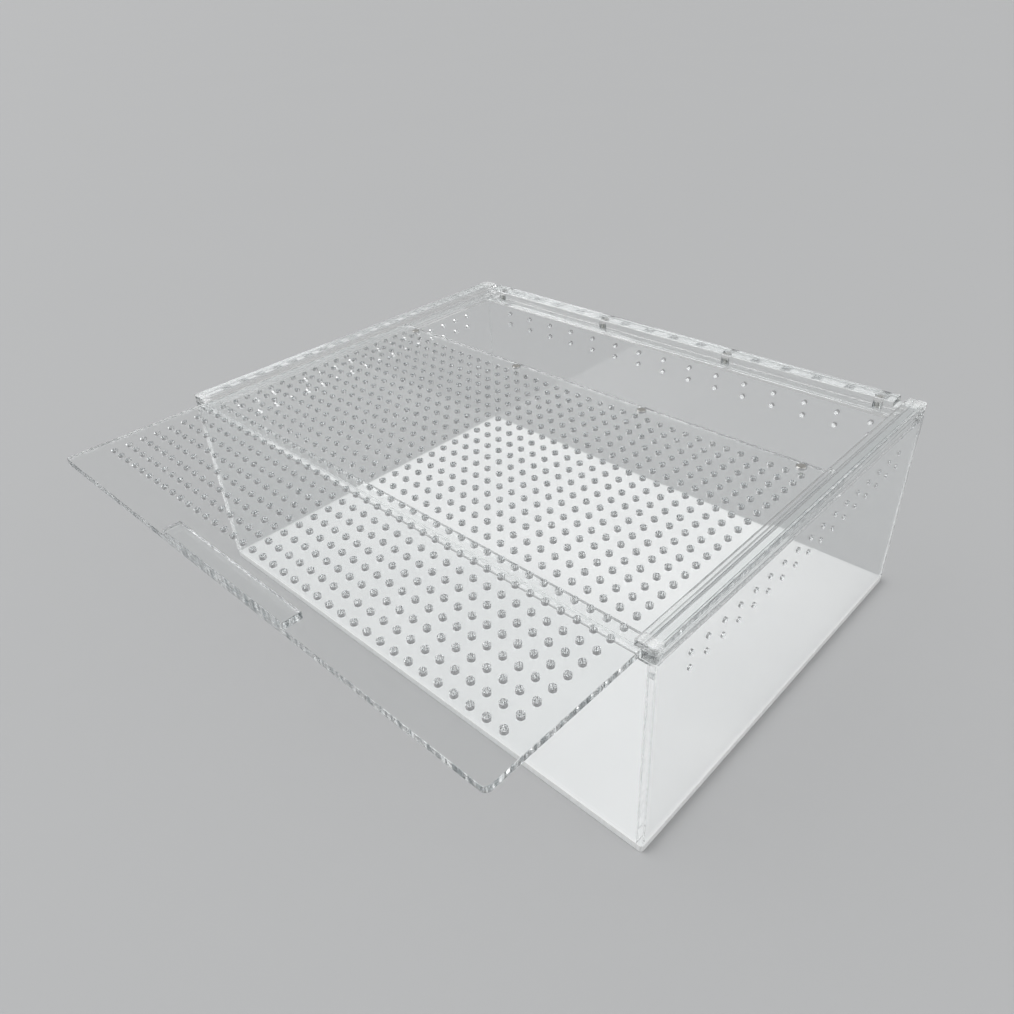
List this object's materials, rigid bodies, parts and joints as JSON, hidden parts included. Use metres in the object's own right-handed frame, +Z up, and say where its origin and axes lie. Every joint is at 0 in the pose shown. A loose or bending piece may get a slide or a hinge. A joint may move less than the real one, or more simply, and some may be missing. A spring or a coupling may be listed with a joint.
{
  "type": "acrylic terrarium",
  "caption": "Clear acrylic terrarium box with vented walls, a white floor panel and a perforated lid that slides out of grooves at its top edge.",
  "frame": {"origin": "centre of the floor panel's underside, where the box stands", "axes": "+X to the right seen from the front, +Y from the front wall to the back wall, +Z up"},
  "size_m": [0.4, 0.397, 0.1471],
  "materials": {
    "clear_acrylic": "clear colourless cast sheet with bright, finely striated cut edges",
    "white_acrylic": "opaque white sheet, glossy",
    "nickel_plate": "nickel-plated disc magnet, polished"
  },
  "bodies": {
    "box": {"floor_panel": "white_acrylic", "left_wall": "clear_acrylic", "right_wall": "clear_acrylic", "front_wall": "clear_acrylic", "back_wall": "clear_acrylic", "left_ledge": "clear_acrylic", "right_ledge": "clear_acrylic", "front_ledge": "clear_acrylic", "back_ledge": "clear_acrylic", "left_spacer": "clear_acrylic", "right_spacer": "clear_acrylic", "back_spacer": "clear_acrylic", "left_top_strip": "clear_acrylic", "right_top_strip": "clear_acrylic", "back_top_strip": "clear_acrylic", "box_magnet_1": "nickel_plate", "box_magnet_2": "nickel_plate", "box_magnet_3": "nickel_plate", "box_magnet_4": "nickel_plate"},
    "lid": {"lid_panel": "clear_acrylic", "lid_handle": "clear_acrylic", "lid_magnet_1": "nickel_plate", "lid_magnet_2": "nickel_plate", "lid_magnet_3": "nickel_plate", "lid_magnet_4": "nickel_plate"}
  },
  "joints": [
    {"name": "lid_slide", "type": "slide", "parent": "box", "child": "lid", "axis": [0, -1, 0], "range_m": [-0.097, 0.185]}
  ]
}
